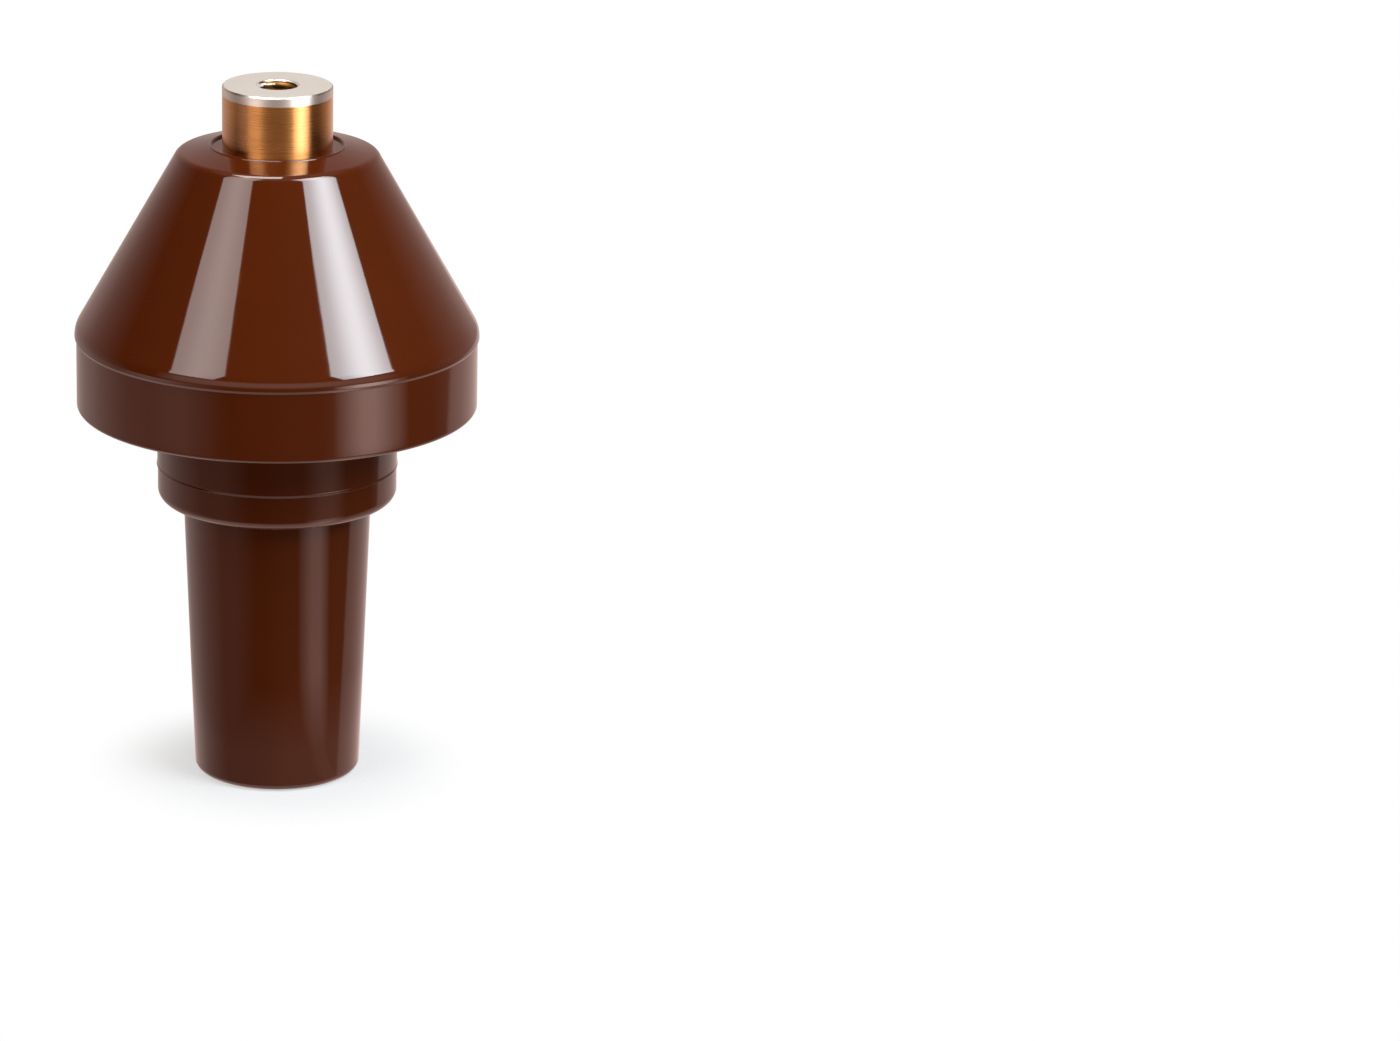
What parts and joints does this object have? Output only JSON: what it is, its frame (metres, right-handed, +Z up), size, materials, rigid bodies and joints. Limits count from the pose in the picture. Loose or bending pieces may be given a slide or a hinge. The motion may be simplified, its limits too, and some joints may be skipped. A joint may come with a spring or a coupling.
{
  "type": "cone bushing",
  "caption": "Cast resin cone bushing with a copper through conductor, tapered plug-in spigot, threaded flange inserts and a voltage tap socket.",
  "frame": {"origin": "centre of the spigot's end face, on the bushing's axis, at the bottom of the part", "axes": "+Z up along the axis, from the spigot to the copper stud; +X towards the tap socket"},
  "size_m": [0.1178, 0.1178, 0.2082],
  "materials": {
    "cast_resin": "glossy red-brown cast epoxy resin",
    "copper": "finely turned copper",
    "silver_plate": "satin silver plating",
    "insert_brass": "turned brass",
    "socket_black": "moulded black plastic",
    "block_grey": "moulded grey plastic",
    "contact_metal": "gold-plated contact blade",
    "electrode_sheet": "rolled sheet",
    "lead_wire": "bare copper wire"
  },
  "bodies": {
    "root": {"resin_body": "cast_resin", "conductor": "copper", "top_plating": "silver_plate", "foot_plating": "silver_plate", "insert_1": "insert_brass", "insert_2": "insert_brass", "insert_3": "insert_brass", "insert_4": "insert_brass", "insert_5": "insert_brass", "insert_6": "insert_brass", "socket_shell": "socket_black", "contact_block": "block_grey", "signal_contact": "contact_metal", "earth_contact": "contact_metal", "tap_electrode": "electrode_sheet", "signal_lead": "lead_wire", "earth_lead": "lead_wire"}
  },
  "joints": []
}
